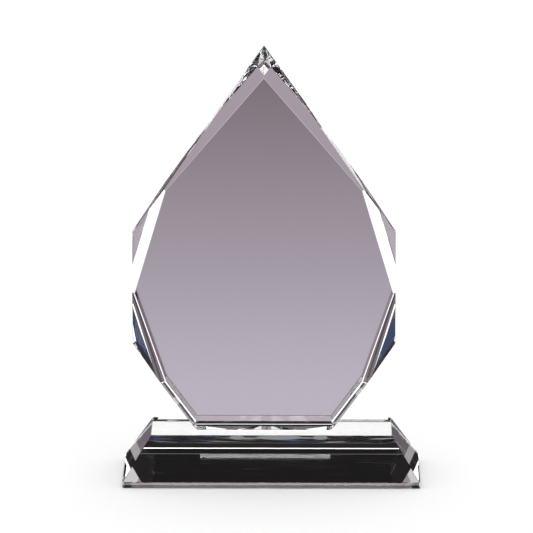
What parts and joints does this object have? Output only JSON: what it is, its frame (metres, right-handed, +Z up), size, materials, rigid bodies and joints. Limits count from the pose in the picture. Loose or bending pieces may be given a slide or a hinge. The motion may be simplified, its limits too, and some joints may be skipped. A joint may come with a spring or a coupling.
{
  "type": "crystal award",
  "caption": "Clear faceted crystal award: a pear-shaped bevelled slab with a pointed top, bonded upright on a low slope-sided crystal pedestal.",
  "frame": {"origin": "centre of the underside of the base, where it rests on a table", "axes": "+Z up through the point of the plaque, +X to the right along the width, -Y towards the front"},
  "size_m": [0.137, 0.059, 0.2017],
  "materials": {
    "base_crystal": "polished optical crystal",
    "cured_adhesive": "clear cured adhesive",
    "plaque_crystal": "polished optical crystal"
  },
  "bodies": {
    "root": {"crystal_base": "base_crystal", "bond_film": "cured_adhesive", "crystal_plaque": "plaque_crystal"}
  },
  "joints": []
}
